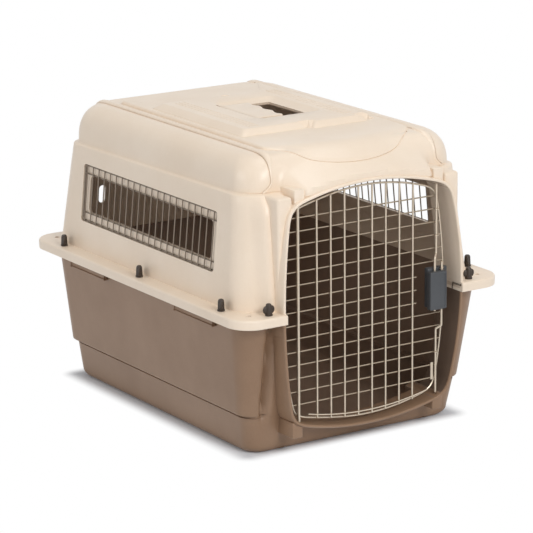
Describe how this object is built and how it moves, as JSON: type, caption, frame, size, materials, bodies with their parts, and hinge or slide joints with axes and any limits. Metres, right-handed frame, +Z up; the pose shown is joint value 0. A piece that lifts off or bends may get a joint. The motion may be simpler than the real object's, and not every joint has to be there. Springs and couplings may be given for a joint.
{
  "type": "pet transport carrier",
  "caption": "Two-part moulded carrier for a small animal, with a hinged wire door, spring latch rods, wire side windows and a fold-flat top handle.",
  "frame": {"origin": "on the floor, midway between the two middle shell bolts", "axes": "+Z up, door faces -Y, +Y towards the rear wall, +X to the right seen from the front; length runs along Y"},
  "size_m": [0.517, 0.685, 0.504],
  "materials": {
    "cream_shell": "satin moulded polypropylene",
    "taupe_shell": "satin moulded polypropylene",
    "plated_wire": "bright plated steel wire",
    "latch_plastic": "fine textured plastic",
    "nut_plastic": "moulded nylon",
    "spring_steel": "drawn wire"
  },
  "bodies": {
    "root": {"left_grille_bars": "plated_wire", "left_grille_frame": "plated_wire", "left_grille_rails": "plated_wire", "lower_shell": "taupe_shell", "right_grille_bars": "plated_wire", "right_grille_frame": "plated_wire", "right_grille_rails": "plated_wire", "shell_bolts": "nut_plastic", "upper_shell": "cream_shell", "wing_nuts": "nut_plastic"},
    "door": {"door_upright_wires": "plated_wire", "door_cross_wires": "plated_wire", "door_frame_wire": "plated_wire", "door_sill_wire": "plated_wire", "hinge_rod": "plated_wire", "upper_latch_spring": "spring_steel", "lower_latch_spring": "spring_steel", "latch_housing_front": "latch_plastic", "latch_housing_back": "latch_plastic", "rod_guides": "plated_wire", "rod_guard_strip": "plated_wire"},
    "upper_rod": {"upper_latch_rod": "plated_wire", "upper_rod_collar": "plated_wire"},
    "lower_rod": {"lower_latch_rod": "plated_wire", "lower_rod_collar": "plated_wire"},
    "handle": {"carrying_handle": "cream_shell", "handle_pins": "plated_wire"}
  },
  "joints": [
    {"name": "door_hinge", "type": "hinge", "parent": "root", "child": "door", "pos_m": [-0.135, -0.3119, 0.24], "axis": [0, 0, -1], "range_deg": [0, 120]},
    {"name": "upper_rod_slide", "type": "slide", "parent": "door", "child": "upper_rod", "axis": [0, 0, 1], "range_m": [0, 0.012], "stiffness_N_per_m": 60, "springref_m": 0.012, "deforming": ["upper_latch_spring"]},
    {"name": "lower_rod_slide", "type": "slide", "parent": "door", "child": "lower_rod", "axis": [0, 0, -1], "range_m": [0, 0.012], "stiffness_N_per_m": 60, "springref_m": 0.012, "deforming": ["lower_latch_spring"]},
    {"name": "handle_hinge", "type": "hinge", "parent": "root", "child": "handle", "pos_m": [-0.044, -0.009, 0.497], "axis": [0, -1, 0], "range_deg": [0, 95]}
  ]
}
